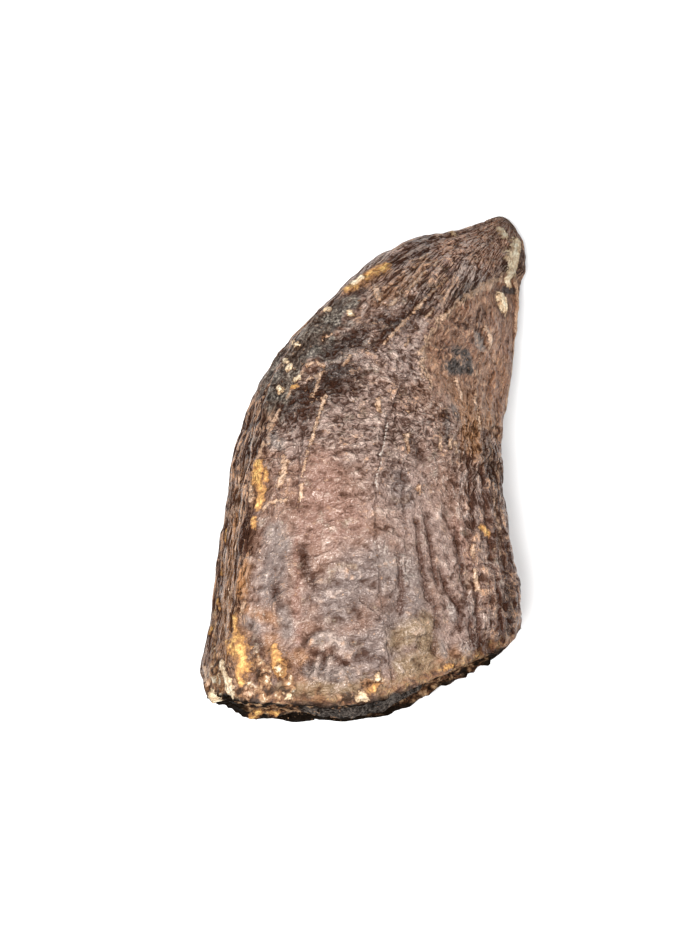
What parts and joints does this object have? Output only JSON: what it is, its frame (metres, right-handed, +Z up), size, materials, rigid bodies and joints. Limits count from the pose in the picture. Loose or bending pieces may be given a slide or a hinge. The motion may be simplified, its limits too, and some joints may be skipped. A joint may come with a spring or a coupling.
{
  "type": "fossil tyrannosaur tooth",
  "caption": "Recurved, laterally flattened fossil tooth crown lying on its side, with a worn tip, wrinkled enamel and a broken base.",
  "frame": {"origin": "under the middle of the tooth's bounding box, on the surface that it lies on", "axes": "+Y from the broken base to the tip, +X from the front (mesial) edge to the rear (distal) edge, +Z up, from the face it lies on to the upper face"},
  "size_m": [0.0266, 0.0432, 0.0168],
  "materials": {
    "fossil_enamel": "satin, wrinkled dark brown enamel over brown dentine, with tan and ochre mineral stains"
  },
  "bodies": {
    "root": {"tooth": "fossil_enamel"}
  },
  "joints": []
}
